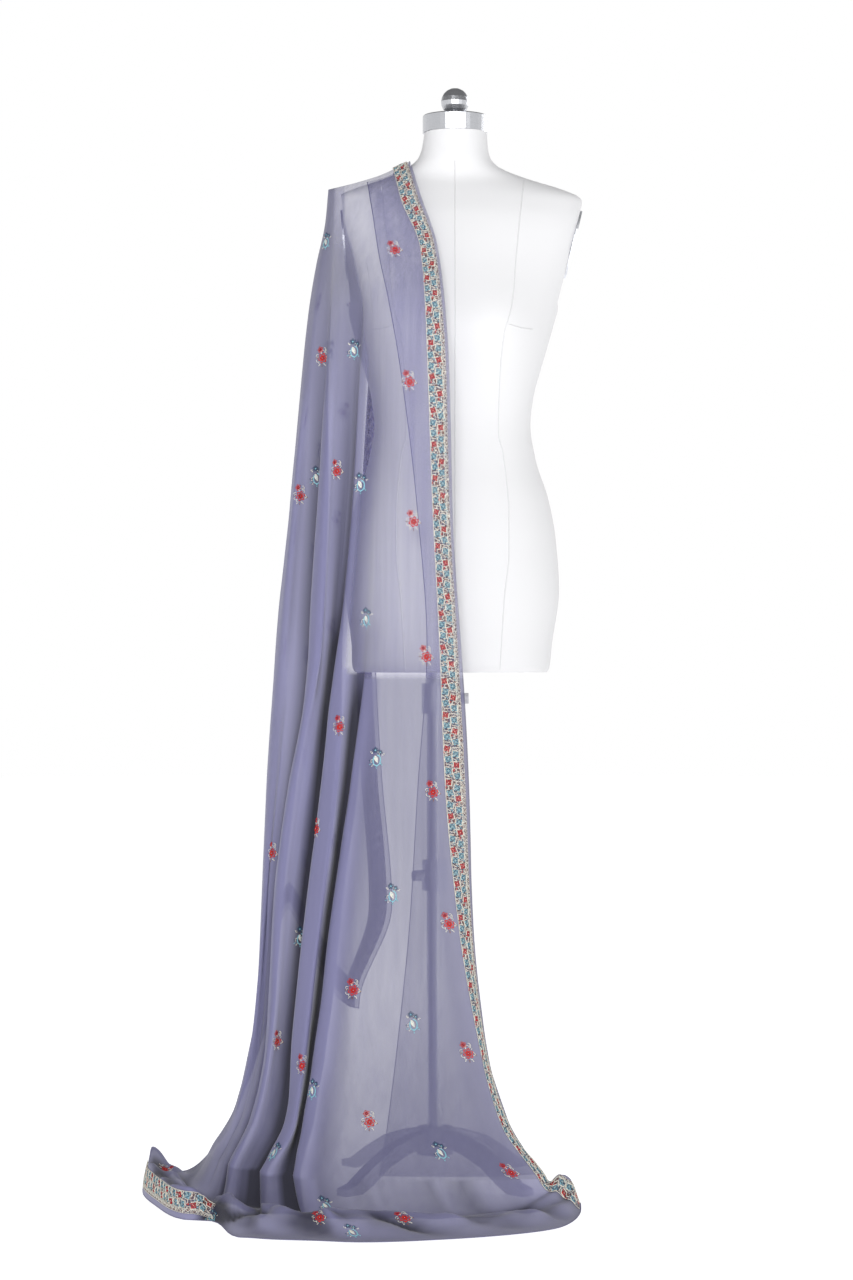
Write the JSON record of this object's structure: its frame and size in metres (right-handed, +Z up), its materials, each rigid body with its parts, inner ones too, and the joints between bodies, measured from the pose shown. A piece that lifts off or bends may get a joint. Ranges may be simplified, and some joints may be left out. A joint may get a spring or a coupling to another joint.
{
  "type": "dupatta stole on a dress form",
  "caption": "Sheer stole draped over the shoulder of a limbless dress form on its stand, front edge turned under along an embroidered border, front end trailing on the floor.",
  "frame": {"origin": "middle of the footprint's bounding box, on the floor", "axes": "+Z up along the stand's pole, -Y towards the front of the form, +X towards the bare shoulder"},
  "size_m": [0.657, 0.6303, 1.6375],
  "materials": {
    "cloth": "sheer matte grey-lavender chiffon",
    "border": "dense multicolour thread embroidery",
    "form": "matte white stretched cover",
    "steel": "brushed",
    "stand": "satin grey"
  },
  "bodies": {
    "root": {"cloth_shoulder": "cloth", "cloth_front_fall": "cloth", "cloth_side_fall": "cloth", "cloth_back_fall": "cloth", "cloth_floor_trail": "cloth", "cloth_turned_edge": "cloth", "border_shoulder_front": "border", "border_front": "border", "border_floor_right": "border", "border_shoulder_back": "border", "border_back": "border", "border_back_end": "border", "border_floor_left": "border", "form_torso": "form", "arm_plate_left": "steel", "arm_plate_right": "steel", "neck_cap": "steel", "finial_ball": "steel", "pole": "stand", "base_hub": "stand", "upper_collar": "stand", "upper_collar_knob": "stand", "lower_collar": "stand", "lower_collar_knob": "stand", "leg_1": "stand", "leg_2": "stand", "leg_3": "stand", "leg_4": "stand"}
  },
  "joints": []
}
